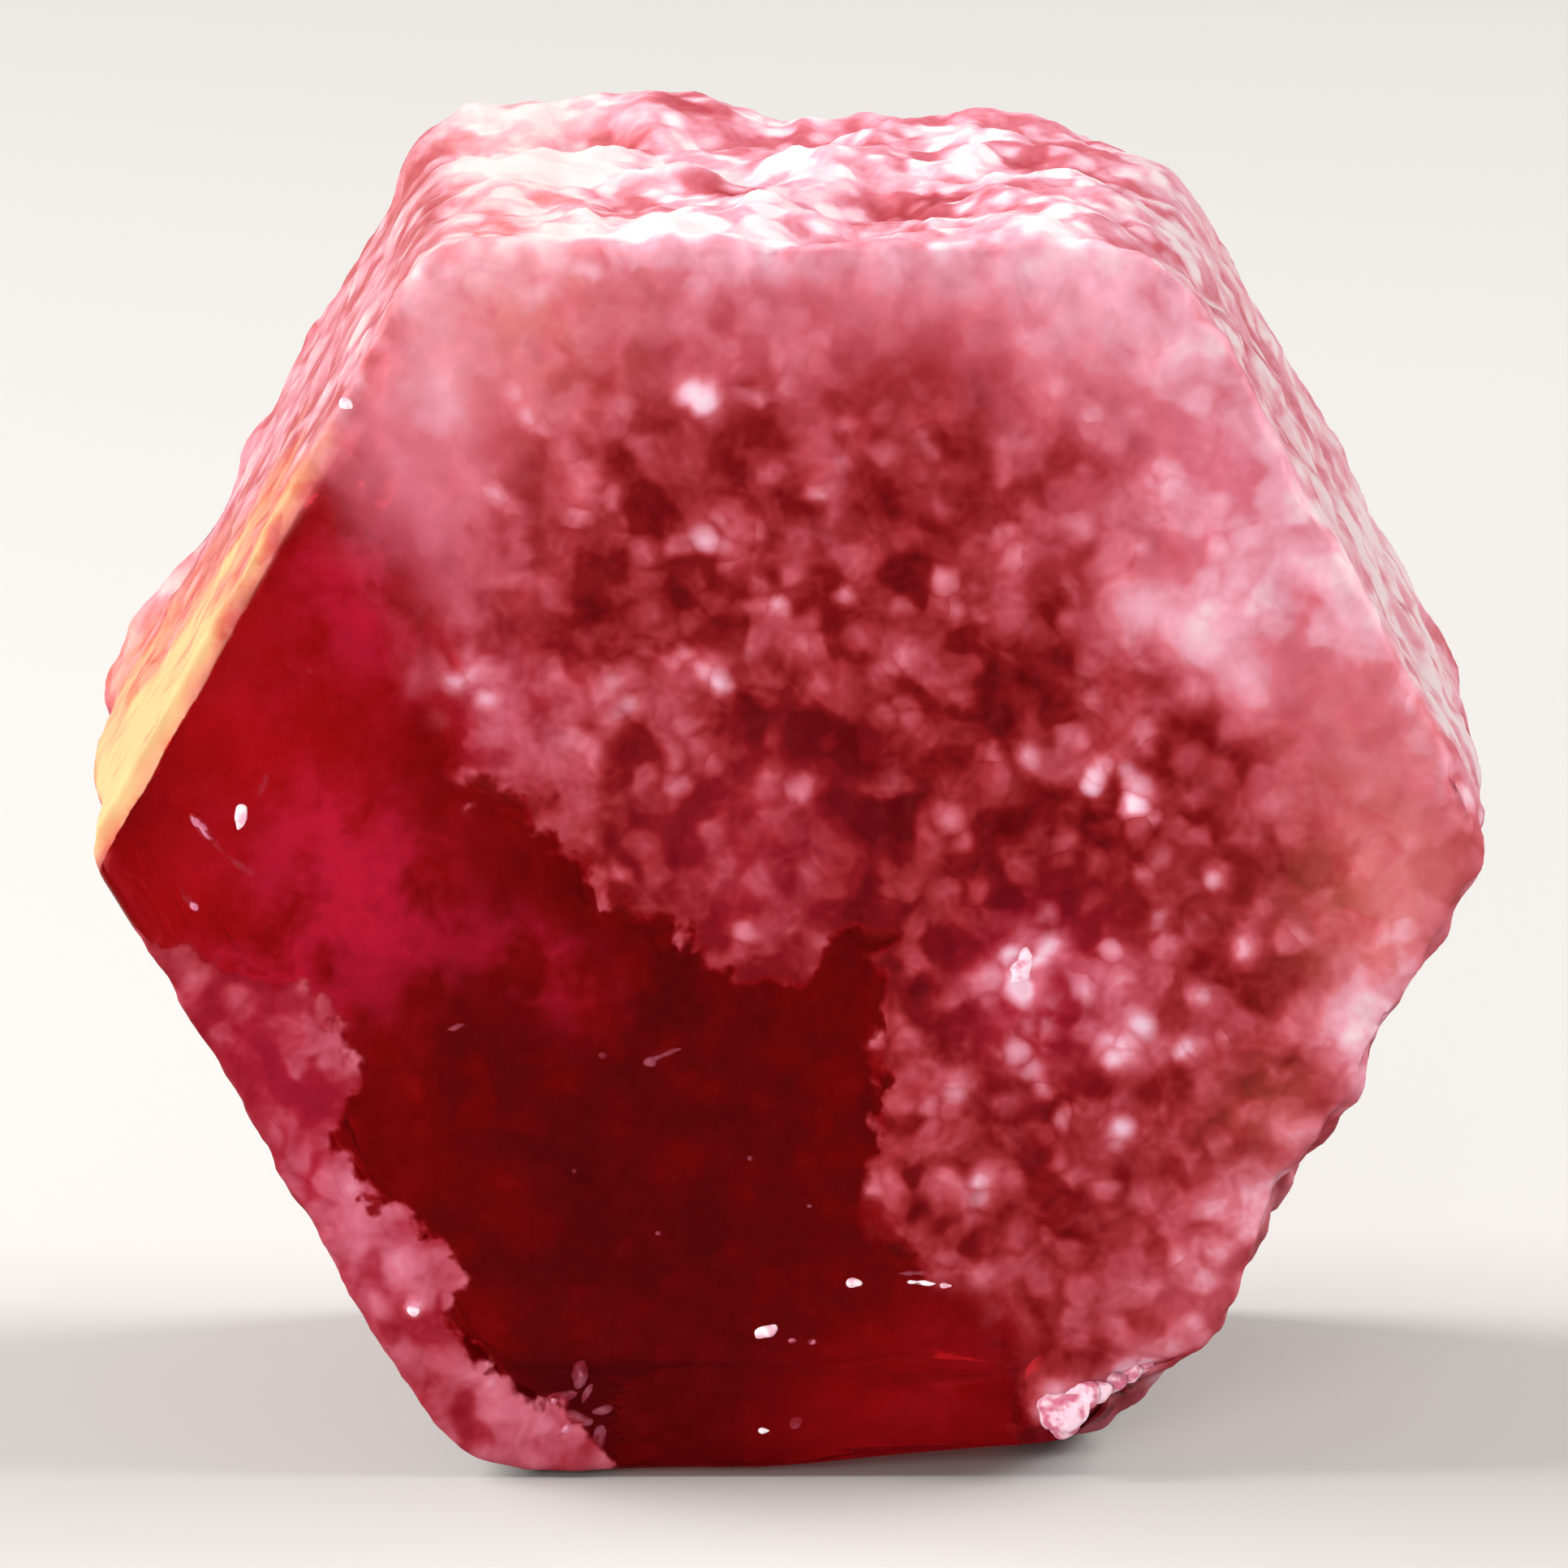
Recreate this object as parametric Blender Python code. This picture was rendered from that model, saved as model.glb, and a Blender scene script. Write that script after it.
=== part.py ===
"""A red beryl crystal: one stubby six-sided prism that lies on one of its prism faces.

The prism's axis, the crystal's c-axis, runs along Y. The grown basal face looks towards -Y and the broken end
towards +Y. The crystal rests on the flat prism face at Z = 0, with the origin below its middle.
The prism is a fan of triangles at each end and a band of squares between them, cut into a fine lattice.
Each lattice point is laid on the real outline and then moved along its normal by the wear of the edges and
by the relief of the face that it is on.
"""

import math

import bmesh
import bpy
import numpy as np
from mathutils import Matrix, Vector, noise

MM = 0.001
TOUCHING = 1e-5 * MM  # lengths under this are rounding

# Driving dimensions, in metres.
THICKNESS = 5.0 * MM  # along the c-axis
CENTRE_HEIGHT = 4.45 * MM  # the prism's axis above the face that it rests on
CORNERS = (  # x, z and the length of edge that the corner's rounding takes, anticlockwise from the right
    (5.00 * MM, 4.57 * MM, 0.50 * MM),
    (2.66 * MM, 8.92 * MM, 0.70 * MM),
    (-2.56 * MM, 8.92 * MM, 0.45 * MM),
    (-5.00 * MM, 4.57 * MM, 0.30 * MM),
    (-2.36 * MM, 0.00 * MM, 0.85 * MM),
    (2.40 * MM, 0.00 * MM, 0.75 * MM),
)
LATTICE = 18  # lattice steps along each edge of the prism

# Faces of the prism. A side is named for where it looks, and starts at the corner of the same number.
UPPER_RIGHT, TOP, UPPER_LEFT, LOWER_LEFT, BOTTOM, LOWER_RIGHT, FRONT, BACK = range(8)
FACE_BLEND = 0.16 * MM  # how far one face's relief reaches over an edge

# The clear window in the basal face, x and z. Outside it the face has a frosted, granular crust.
WINDOW = tuple(
    (x * MM, z * MM)
    for x, z in (
        (-5.3, 4.6), (-3.4, 7.3), (-2.7, 6.3), (-2.4, 5.0), (-1.6, 4.6), (-1.4, 4.1), (-0.7, 3.9), (-0.2, 3.5),
        (0.4, 4.0), (0.6, 3.4), (0.6, 1.6), (1.4, 1.4), (2.0, 0.6), (2.0, -0.4), (-1.2, -0.4), (-1.4, 0.4),
        (-2.0, 0.7), (-2.5, 1.5), (-3.1, 2.4), (-3.2, 3.4), (-3.8, 3.7), (-4.7, 3.6),
    )
)
CRUST_RISE = 0.05 * MM
CRUST_SLOPE = 0.25 * MM  # width of the ledge round the window
GRAIN = (0.55 * MM, 0.075 * MM)  # size and height of the crust's grains

TOP_LUMPS = (1.15 * MM, 0.16 * MM)
SIDE_UNDULATION = (1.60 * MM, 0.035 * MM)
CHIPS = (0.75 * MM, 0.13 * MM)
BACK_LUMPS = (1.50 * MM, 0.30 * MM)
STEP_RISE = 0.11 * MM  # of the terraces on the broken end
STEP_WIDTH = 2.60 * MM
STEP_SLANT = 0.6

EDGE_WEAR = 0.10 * MM  # radius of a worn edge
CHIPPED_WEAR = 0.42 * MM  # the most that the lower right and the back edges have lost
WEAR_PATCH = 0.90 * MM  # length of one patch of wear
WEAR_REACH = 0.50 * MM  # how far from the chipped and the keen edges their wear is felt
KEEN_WEAR = 0.03 * MM  # radius of the edge of the smooth upper left face
KEEN_TOP = (7.2 * MM, 8.0 * MM)  # heights between which that edge turns from keen to worn
EDGE_PULL = 0.414  # how far a rounded right-angled edge lies inside the sharp one, for a radius of 1

# The face that it rests on is flat between four corners, in lattice steps from the left and from the front.
# Its sides bow in between them, and round it the underside lifts off the ground.
REST_COLUMNS = (4, 15)
REST_ROWS = (5, 17)
REST_BOW = 0.2
UNDERCUT = 0.05 * MM  # lift of the underside at one half-width beyond the flat
BEVEL_RISE = 0.24 * MM  # of the front edge at its right end
BEVEL_SPAN = (-1.30 * MM, 2.30 * MM)  # x between which the bevel grows to its full rise

# Single features: x, y, z, radius and height, which is below zero for a pit.
FEATURES = tuple(
    tuple(value * MM for value in feature)
    for feature in (
        (-0.90, 2.30, 8.92, 1.00, 0.17),  # lump at the back of the top
        (-1.55, 1.35, 8.92, 0.60, -0.30),  # round cavity beside it
        (-0.30, 0.30, 8.92, 0.55, -0.16),
        (0.45, -0.70, 8.92, 0.60, -0.15),
        (1.70, 0.90, 8.92, 0.80, 0.12),
        (0.90, 2.40, 8.92, 1.30, 0.10),  # the top's back edge
        (-2.45, 2.00, 8.85, 0.90, 0.14),
        (2.80, 2.40, 8.60, 1.00, -0.34),  # broken corner at the back
        (3.10, 2.30, 7.90, 0.80, -0.10),
        (1.95, -2.50, 0.52, 0.44, 0.17),  # pale crumb at the lower right corner
        (2.45, -2.45, 0.25, 0.85, -0.40),  # the chipped corner beside it
        (3.55, -2.30, 2.05, 0.60, -0.16),  # chips along the lower right edge
        (4.35, -2.30, 3.15, 0.60, -0.17),
        (2.75, -2.30, 0.75, 0.50, -0.10),
        (-4.35, 2.40, 5.90, 0.80, -0.13),  # step in the edge behind the smooth face
        (-4.65, 2.45, 5.25, 0.60, -0.08),
        (-4.98, 0.20, 4.57, 1.30, 0.08),  # swelling of the left corner
    )
)


def hexagon_lattice():
    """The closed lattice, with the unit hexagon's corners on the circle and its ends at depth -0.5 and 0.5."""
    lattice = bmesh.new()
    quarter_turn = Matrix.Rotation(math.pi / 2, 4, "Z")  # brings the first corner from +Y onto the X axis
    bmesh.ops.create_cone(
        lattice, segments=6, radius1=1, radius2=1, depth=1, cap_ends=True, cap_tris=True, matrix=quarter_turn
    )
    bmesh.ops.subdivide_edges(lattice, edges=lattice.edges[:], cuts=LATTICE - 1, use_grid_fill=True)
    bmesh.ops.triangulate(lattice, faces=[face for face in lattice.faces if len(face.verts) > 3])
    return lattice


def outline_point(turns):
    """The rounded outline at a place counted in sides from the right corner, as x and z."""
    corners = np.array([corner[:2] for corner in CORNERS])
    rounding = np.array([corner[2] for corner in CORNERS])
    side = np.floor(turns).astype(int) % 6
    along = turns - np.floor(turns)
    start, end = corners[side], corners[(side + 1) % 6]
    length = np.linalg.norm(end - start, axis=1)
    point = start + (end - start) * along[:, None]
    near_end = along > 0.5
    corner = np.where(near_end, (side + 1) % 6, side)
    gap = np.where(near_end, 1 - along, along) * length
    reach = rounding[corner]
    back = corners[(corner - 1) % 6] - corners[corner]
    ahead = corners[(corner + 1) % 6] - corners[corner]
    back *= (reach / np.linalg.norm(back, axis=1))[:, None]
    ahead *= (reach / np.linalg.norm(ahead, axis=1))[:, None]
    share = 0.5 + np.where(near_end, -gap, gap) / (2 * reach)
    bent = corners[corner] + back * ((1 - share) ** 2)[:, None] + ahead * (share**2)[:, None]
    return np.where((gap < reach)[:, None], bent, point)


def on_outline(lattice):
    """Lattice points laid on the real outline and thickness."""
    flat = np.array([vertex.co for vertex in lattice.verts])
    angle = np.arctan2(flat[:, 1], flat[:, 0]) % (2 * np.pi)
    side = np.floor(angle / (np.pi / 3) + 1e-6).astype(int) % 6
    middle = (side + 0.5) * np.pi / 3
    apothem = np.cos(np.pi / 6)
    ring = (flat[:, 0] * np.cos(middle) + flat[:, 1] * np.sin(middle)) / apothem
    across = -flat[:, 0] * np.sin(middle) + flat[:, 1] * np.cos(middle)
    along = across / np.maximum(ring, 1e-9) + 0.5
    rim = outline_point(side + np.clip(along, 0, 1))
    centre = np.array((0, CENTRE_HEIGHT))
    laid = centre + (rim - centre) * ring[:, None]
    return np.column_stack((laid[:, 0], -flat[:, 2] * THICKNESS, laid[:, 1]))


def face_distances(points):
    """How far each point lies inside each of the eight faces, one column for each face."""
    columns = []
    for number, (x, z, _) in enumerate(CORNERS):
        next_x, next_z, _ = CORNERS[(number + 1) % 6]
        edge = np.array((next_x - x, next_z - z))
        outward = np.array((edge[1], -edge[0])) / np.linalg.norm(edge)
        columns.append(-(points[:, [0, 2]] - (x, z)) @ outward)
    columns.append(points[:, 1] + THICKNESS / 2)
    columns.append(THICKNESS / 2 - points[:, 1])
    return np.maximum(np.column_stack(columns), 0)


def smooth_step(value, low, high):
    share = np.clip((value - low) / (high - low), 0, 1)
    return share * share * (3 - 2 * share)


def lumps(points, size, seed):
    """Smooth noise from about -1 to 1, with lumps of the given size."""
    shift = Vector((seed, 2.3 * seed, -1.7 * seed))
    return np.array([noise.fractal(Vector(point) / size + shift, 0.9, 2.1, 3) for point in points])


def window_distance(points):
    """Distance from the window's outline in the basal face, above zero on the crust and below it inside."""
    place = points[:, [0, 2]]
    nearest = np.full(len(points), np.inf)
    inside = np.zeros(len(points), dtype=bool)
    for (x, z), (next_x, next_z) in zip(WINDOW, WINDOW[1:] + WINDOW[:1]):
        edge = np.array((next_x - x, next_z - z))
        offset = place - (x, z)
        share = np.clip(offset @ edge / (edge @ edge), 0, 1)
        nearest = np.minimum(nearest, np.linalg.norm(offset - share[:, None] * edge, axis=1))
        level = (z > place[:, 1]) != (next_z > place[:, 1])
        inside ^= level & ((offset[:, 0] * edge[1] < offset[:, 1] * edge[0]) == (edge[1] > 0))
    return np.where(inside, -nearest, nearest)


def terraces(points):
    """Broad growth steps that cross the broken end at a slant, each with a steep riser."""
    climb = (points[:, 0] + STEP_SLANT * points[:, 2]) / STEP_WIDTH + 0.35 * lumps(points, STEP_WIDTH, 5)
    whole = np.floor(climb)
    return (whole + smooth_step(climb - whole, 0.75, 1.0)) * STEP_RISE


def face_relief(points):
    """The relief of the eight faces at every point, one column for each face, outwards above zero."""
    undulation = lumps(points, SIDE_UNDULATION[0], 1) * SIDE_UNDULATION[1]
    grain = lumps(points, GRAIN[0], 2) * GRAIN[1]
    chips = lumps(points, CHIPS[0], 3) * CHIPS[1]
    crust = smooth_step(window_distance(points), 0, CRUST_SLOPE)
    relief = np.zeros((len(points), 8))
    relief[:, UPPER_RIGHT] = undulation + 0.6 * grain
    relief[:, TOP] = lumps(points, TOP_LUMPS[0], 4) * TOP_LUMPS[1] + grain
    relief[:, UPPER_LEFT] = 0.5 * undulation
    relief[:, LOWER_LEFT] = undulation
    relief[:, LOWER_RIGHT] = chips
    relief[:, FRONT] = crust * (CRUST_RISE + grain)
    relief[:, BACK] = lumps(points, BACK_LUMPS[0], 6) * BACK_LUMPS[1] + grain - terraces(points)
    return relief


def wear_radius(points, distances):
    """Radius of the worn edges near each point."""
    patches = 0.5 + 0.5 * lumps(points, WEAR_PATCH, 7)
    broken = np.exp(-np.minimum(distances[:, LOWER_RIGHT], distances[:, BACK]) / WEAR_REACH)
    keen = np.exp(-distances[:, UPPER_LEFT] / WEAR_REACH) * (1 - smooth_step(points[:, 2], *KEEN_TOP))
    radius = EDGE_WEAR * (0.6 + patches) + CHIPPED_WEAR * broken * patches**2
    return radius + (KEEN_WEAR - radius) * keen


def underside_lift(points):
    """How far the underside stands off the ground: nothing on the flat, more round it and at the front bevel."""
    left, right = CORNERS[4][0], CORNERS[5][0]
    columns = [left + (right - left) * step / LATTICE for step in REST_COLUMNS]
    rows = [THICKNESS * (step / LATTICE - 0.5) for step in REST_ROWS]
    across = (2 * points[:, 0] - sum(columns)) / (columns[1] - columns[0])
    along = (2 * points[:, 1] - sum(rows)) / (rows[1] - rows[0])
    beyond_side = np.abs(across) - 1 + REST_BOW * (1 - along**2)
    beyond_end = np.abs(along) - 1 + REST_BOW * (1 - across**2)
    lift = UNDERCUT * np.clip(np.maximum(beyond_side, beyond_end), 0, None)
    to_front = np.clip((rows[0] - points[:, 1]) / (rows[0] + THICKNESS / 2), 0, 1)
    return np.maximum(lift, BEVEL_RISE * to_front * smooth_step(points[:, 0], *BEVEL_SPAN))


def shaped(points, normals):
    """Points moved along their normals by wear and relief, with the single features and the underside added."""
    distances = face_distances(points)
    weight = np.exp(-distances / FACE_BLEND)
    height = (weight * face_relief(points)).sum(axis=1) / weight.sum(axis=1)
    radius = wear_radius(points, distances)
    to_edge = np.sort(distances, axis=1)[:, 1]
    height -= EDGE_PULL * radius * np.clip(1 - to_edge / radius, 0, 1) ** 2
    for x, y, z, reach, rise in FEATURES:
        spread = np.linalg.norm(points - (x, y, z), axis=1) / reach
        height += rise * np.clip(1 - spread**2, 0, 1) ** 2
    moved = points + normals * height[:, None]
    lift = underside_lift(points)
    moved[:, 2] = np.maximum(moved[:, 2], lift)
    moved[(points[:, 2] < TOUCHING) & (lift < TOUCHING), 2] = 0
    return moved


def beryl_material():
    material = bpy.data.materials.new("red_beryl")
    material.use_nodes = True
    shader = material.node_tree.nodes["Principled BSDF"]
    shader.inputs["Base Color"].default_value = (0.62, 0.03, 0.06, 1)
    shader.inputs["Roughness"].default_value = 0.25
    shader.inputs["Metallic"].default_value = 0
    shader.inputs["IOR"].default_value = 1.57
    shader.inputs["Transmission Weight"].default_value = 0.7
    material.diffuse_color = (0.62, 0.03, 0.06, 1)
    return material


def make_crystal():
    lattice = hexagon_lattice()
    points = on_outline(lattice)
    for vertex, point in zip(lattice.verts, points):
        vertex.co = point
    lattice.normal_update()
    normals = np.array([vertex.normal for vertex in lattice.verts])
    for vertex, point in zip(lattice.verts, shaped(points, normals)):
        vertex.co = point
    mesh = bpy.data.meshes.new("crystal")
    lattice.to_mesh(mesh)
    lattice.free()
    mesh.materials.append(beryl_material())
    crystal = bpy.data.objects.new("crystal", mesh)
    bpy.context.scene.collection.objects.link(crystal)
    return crystal


def main():
    for item in list(bpy.data.objects):
        bpy.data.objects.remove(item, do_unlink=True)
    make_crystal()


main()
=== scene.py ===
"""The looks of a red beryl crystal: half of it glassy, the rest under a frosted, granular crust.

The body is laid on a lattice five times as fine as the model's own. Geometry Nodes raise the crust's grains
on it, and one material mixes clear, absorbing beryl with the crust, from the same grains.
"""

import math

import bmesh
import bpy
import numpy as np
from mathutils import Matrix, Vector, noise


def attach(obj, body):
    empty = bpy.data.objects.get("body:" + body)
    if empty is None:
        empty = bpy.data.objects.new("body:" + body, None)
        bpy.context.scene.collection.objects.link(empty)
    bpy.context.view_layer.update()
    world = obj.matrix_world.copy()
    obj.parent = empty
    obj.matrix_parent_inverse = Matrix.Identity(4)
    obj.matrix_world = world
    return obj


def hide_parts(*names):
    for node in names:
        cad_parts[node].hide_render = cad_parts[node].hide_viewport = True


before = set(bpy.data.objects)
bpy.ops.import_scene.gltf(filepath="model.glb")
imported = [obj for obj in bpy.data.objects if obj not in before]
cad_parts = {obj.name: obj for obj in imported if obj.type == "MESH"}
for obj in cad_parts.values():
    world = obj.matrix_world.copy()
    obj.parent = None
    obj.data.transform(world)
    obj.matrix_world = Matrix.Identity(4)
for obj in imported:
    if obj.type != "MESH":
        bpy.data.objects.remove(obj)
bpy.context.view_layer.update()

MM = 0.001
TOUCHING = 1e-5 * MM  # lengths under this are rounding

# The crystal's body, as the model has it.
THICKNESS = 5.0 * MM  # along the c-axis
CENTRE_HEIGHT = 4.45 * MM  # the prism's axis above the face that it rests on
CORNERS = (  # x, z and the length of edge that the corner's rounding takes, anticlockwise from the right
    (5.00 * MM, 4.57 * MM, 0.50 * MM),
    (2.66 * MM, 8.92 * MM, 0.70 * MM),
    (-2.56 * MM, 8.92 * MM, 0.45 * MM),
    (-5.00 * MM, 4.57 * MM, 0.30 * MM),
    (-2.36 * MM, 0.00 * MM, 0.85 * MM),
    (2.40 * MM, 0.00 * MM, 0.75 * MM),
)
LATTICE = 18  # the model's lattice steps along each edge
FINENESS = 5  # fine steps in one step of the model's lattice

# A side is named for where it looks, and starts at the corner of the same number.
UPPER_RIGHT, TOP, UPPER_LEFT, LOWER_LEFT, BOTTOM, LOWER_RIGHT, FRONT, BACK = range(8)
FACE_BLEND = 0.16 * MM  # how far one face's relief reaches over an edge

# Where the model's basal face is smooth, x and z. Outside it the crust stands up.
WINDOW = tuple(
    (x * MM, z * MM)
    for x, z in (
        (-5.3, 4.6), (-3.4, 7.3), (-2.7, 6.3), (-2.4, 5.0), (-1.6, 4.6), (-1.4, 4.1), (-0.7, 3.9),
        (-0.2, 3.5), (0.4, 4.0), (0.6, 3.4), (0.6, 1.6), (1.4, 1.4), (1.8, 0.7), (1.75, -0.4),
        (-1.2, -0.4), (-1.4, 0.4), (-2.0, 0.7), (-2.5, 1.5), (-3.1, 2.4), (-3.2, 3.4), (-3.8, 3.7),
        (-4.7, 3.6),
    )
)
CRUST_RISE = 0.05 * MM
CRUST_SLOPE = 0.25 * MM  # width of the ledge round the window

# The relief of the faces: the size of its lumps and their height.
GRAIN = (0.55 * MM, 0.075 * MM)
TOP_LUMPS = (1.15 * MM, 0.16 * MM)
SIDE_UNDULATION = (1.60 * MM, 0.035 * MM)
CHIPS = (0.75 * MM, 0.13 * MM)
BACK_LUMPS = (1.50 * MM, 0.30 * MM)
STEP_RISE = 0.11 * MM  # of the terraces on the broken end
STEP_WIDTH = 2.60 * MM
STEP_SLANT = 0.6

EDGE_WEAR = 0.10 * MM  # radius of a worn edge
CHIPPED_WEAR = 0.42 * MM  # the most that the lower right and the back edges have lost
WEAR_PATCH = 0.90 * MM  # length of one patch of wear
WEAR_REACH = 0.50 * MM  # how far from the chipped and the keen edges their wear is felt
KEEN_WEAR = 0.03 * MM  # radius of the edge of the smooth upper left face
KEEN_TOP = (7.2 * MM, 8.0 * MM)  # heights between which that edge turns from keen to worn
EDGE_PULL = 0.414  # how far a rounded right-angled edge lies inside the sharp one, for a radius of 1
NORMAL_TURN = 0.22 * MM  # how far from an end's edge the relief's direction still turns

# The flat that it rests on, in the model's lattice steps from the left and from the front. Its sides bow in.
REST_COLUMNS = (4, 15)
REST_ROWS = (5, 17)
REST_BOW = 0.2
UNDERCUT = 0.05 * MM  # lift of the underside at one half-width beyond the flat
BEVEL_RISE = 0.24 * MM  # of the front edge at its right end
BEVEL_SPAN = (-1.30 * MM, 2.30 * MM)  # x between which the bevel grows to its full rise
CREASE_ROUNDING = 0.24 * MM  # of the crease where the sides meet the lifted underside

# Single features: x, y, z, radius and height in mm, which is below zero for a pit.
FEATURES = tuple(
    tuple(value * MM for value in feature)
    for feature in (
        (-0.90, 2.30, 8.92, 1.00, 0.17),
        (-1.55, 1.35, 8.92, 0.60, -0.30),
        (-0.30, 0.30, 8.92, 0.55, -0.16),
        (0.45, -0.70, 8.92, 0.60, -0.15),
        (1.70, 0.90, 8.92, 0.80, 0.12),
        (0.90, 2.40, 8.92, 1.30, 0.10),
        (-2.45, 2.00, 8.85, 0.90, 0.14),
        (2.80, 2.40, 8.60, 1.00, -0.34),
        (3.10, 2.30, 7.90, 0.80, -0.10),
        (1.95, -2.50, 0.52, 0.44, 0.17),
        (2.45, -2.45, 0.25, 0.85, -0.40),
        (3.55, -2.30, 2.05, 0.60, -0.16),
        (4.35, -2.30, 3.15, 0.60, -0.17),
        (2.75, -2.30, 0.75, 0.50, -0.10),
        (-4.35, 2.40, 5.90, 0.80, -0.13),
        (-4.65, 2.45, 5.25, 0.60, -0.08),
        (-4.98, 0.20, 4.57, 1.30, 0.08),
    )
)

# Outline of the clear area in the basal face, x and z in mm, clockwise from the left corner.
CLEAR = (
    (-5.28, 4.46), (-3.62, 7.62), (-3.28, 7.35), (-3.12, 7.00), (-2.84, 6.62), (-2.61, 6.24),
    (-2.56, 5.64), (-2.39, 5.06), (-1.93, 4.94), (-1.59, 4.47), (-1.35, 4.18), (-1.01, 4.06),
    (-0.66, 3.83), (-0.44, 3.64), (-0.15, 3.53), (0.08, 3.53), (0.20, 3.89), (0.42, 3.95), (0.60, 3.89),
    (0.63, 3.47), (0.54, 3.06), (0.63, 2.59), (0.48, 2.24), (0.54, 1.89), (0.77, 1.68), (1.23, 1.35),
    (1.46, 1.12), (1.64, 0.80), (1.52, 0.53), (1.60, 0.27), (1.66, -0.42), (-1.09, -0.42),
    (-1.29, 0.18), (-1.64, 0.59), (-2.04, 0.76), (-2.39, 1.17), (-2.30, 1.47), (-2.61, 1.94),
    (-3.08, 2.18), (-3.19, 2.47), (-3.08, 2.88), (-3.13, 3.23), (-3.48, 3.56), (-3.88, 3.68),
    (-4.50, 3.88), (-4.99, 3.88),
)

# How far inside the crust each face lies, in mm, below zero where it is clear; how pale it is; and how calm.
FACE_CRUST = {UPPER_RIGHT: 0.8, TOP: 1.4, UPPER_LEFT: 1.2, LOWER_LEFT: 0.30, LOWER_RIGHT: 0.9, BACK: 1.0}
FACE_PALE = {UPPER_RIGHT: 1.18, TOP: 1.18, UPPER_LEFT: 1.02, LOWER_LEFT: 0.4, BOTTOM: 0.5, LOWER_RIGHT: 0.75}
FACE_CALM = {
    UPPER_RIGHT: 0.4, TOP: 0.35, UPPER_LEFT: 0.4, LOWER_LEFT: 0.5, BOTTOM: 0.5, LOWER_RIGHT: 0.3, BACK: 0.5,
}
FACE_LEAK = {face: 0.45 for face in range(8)} | {TOP: 0.25}
FRONT_LEAK = 0.12  # share of the light that the basal face's crust lets through
USUAL_REACH = 0.10  # how far a face's looks reach across its edges, in mm
FACE_REACH = {UPPER_LEFT: 0.04, TOP: 0.20, UPPER_RIGHT: 0.20}
FACE_ADVANCE = {UPPER_LEFT: 0.11}  # how far a face's looks are shifted past its edges, in mm
TOP_RIDGE_PALENESS = 0.34  # how much paler the top's ridges are than its hollows
BARE_PATCHES = (1.1 * MM, 0.45)  # size of the crust's patches on the lower left face, and how far they stray
FACE_CLOUDS = (1.3 * MM, 0.16)  # size of the paler and darker areas of the other faces, and their depth

# Soft patches of the basal face: x, z and radius in mm, what they add to its paleness and to its calm.
PALE_BASE = 0.46
CALM_BASE = 0.15
PATCHES = (
    (-2.16, 9.05, 1.30, 0.38, 0.70), (-0.02, 9.25, 1.30, 0.27, 0.70), (1.74, 9.05, 1.40, 0.28, 0.60),
    (2.91, 7.78, 1.70, 0.33, 0.30), (4.08, 6.71, 1.10, 0.37, 0.35), (3.88, 5.63, 0.50, -0.14, 0.30),
    (2.81, 6.32, 0.80, 0.14, 0.10), (4.18, 4.95, 1.00, 0.17, 0.40), (4.57, 4.17, 0.50, 0.20, 0.30),
    (-2.84, 7.68, 1.00, 0.26, 0.50), (-2.55, 6.71, 0.80, 0.22, 0.40), (4.13, 3.39, 0.45, 0.75, 0.30),
    (3.40, 2.32, 0.70, 0.20, 0.10), (2.62, 1.24, 0.80, 0.22, 0.10), (-1.87, 5.15, 0.70, 0.14, 0.05),
    (2.52, 3.19, 0.50, 0.15, 0.10), (-0.21, 4.56, 0.90, 0.05, 0.10), (-2.73, 5.12, 0.25, -0.30, 0.00),
    (-2.84, 1.53, 0.60, 0.26, 0.10), (-3.72, 3.19, 0.90, 0.06, 0.05), (-1.87, 0.46, 0.70, 0.20, 0.10),
    (-0.21, 6.81, 1.00, -0.02, 0.00), (0.18, 5.54, 0.50, -0.14, 0.00), (1.15, 7.49, 0.80, -0.08, 0.00),
    (1.45, 5.93, 0.50, -0.10, 0.00), (1.84, 4.66, 0.80, -0.10, 0.00), (0.67, 4.37, 0.40, -0.25, 0.00),
    (2.45, 6.36, 0.28, 0.24, 0.30), (2.85, 6.06, 0.28, 0.26, 0.30), (3.22, 5.74, 0.28, 0.24, 0.30),
    (1.90, 6.02, 0.20, -0.22, 0.00), (2.32, 5.76, 0.20, -0.28, 0.00), (2.78, 5.42, 0.20, -0.28, 0.00),
    (3.15, 5.16, 0.18, -0.22, 0.00), (2.10, 5.16, 0.40, 0.12, 0.00), (-0.44, 7.18, 0.60, 0.05, 0.00),
    (1.86, 7.18, 0.60, -0.14, 0.00), (1.00, 7.94, 0.50, -0.14, 0.00), (-1.12, 7.41, 0.50, -0.12, 0.00),
    (-0.21, 5.53, 0.25, -0.22, 0.00), (0.65, 4.70, 0.20, -0.35, 0.00), (3.70, 2.40, 0.26, 0.28, 0.10),
    (3.35, 1.85, 0.26, 0.26, 0.10), (2.85, 1.30, 0.26, 0.20, 0.10), (0.30, 4.50, 0.60, -0.06, 0.00),
    (-0.20, 4.20, 0.50, 0.00, 0.10), (2.30, 2.20, 0.80, -0.06, 0.00), (4.30, 5.00, 0.60, 0.06, 0.10),
    (-2.70, 6.72, 0.60, -0.10, 0.00), (1.80, 4.65, 0.50, -0.10, 0.00), (-0.40, 7.10, 0.60, 0.05, 0.00),
    (-1.00, 6.30, 0.50, -0.08, 0.00), (3.85, 5.70, 0.50, 0.08, 0.00), (-3.72, 3.19, 0.50, -0.06, 0.00),
)
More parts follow.
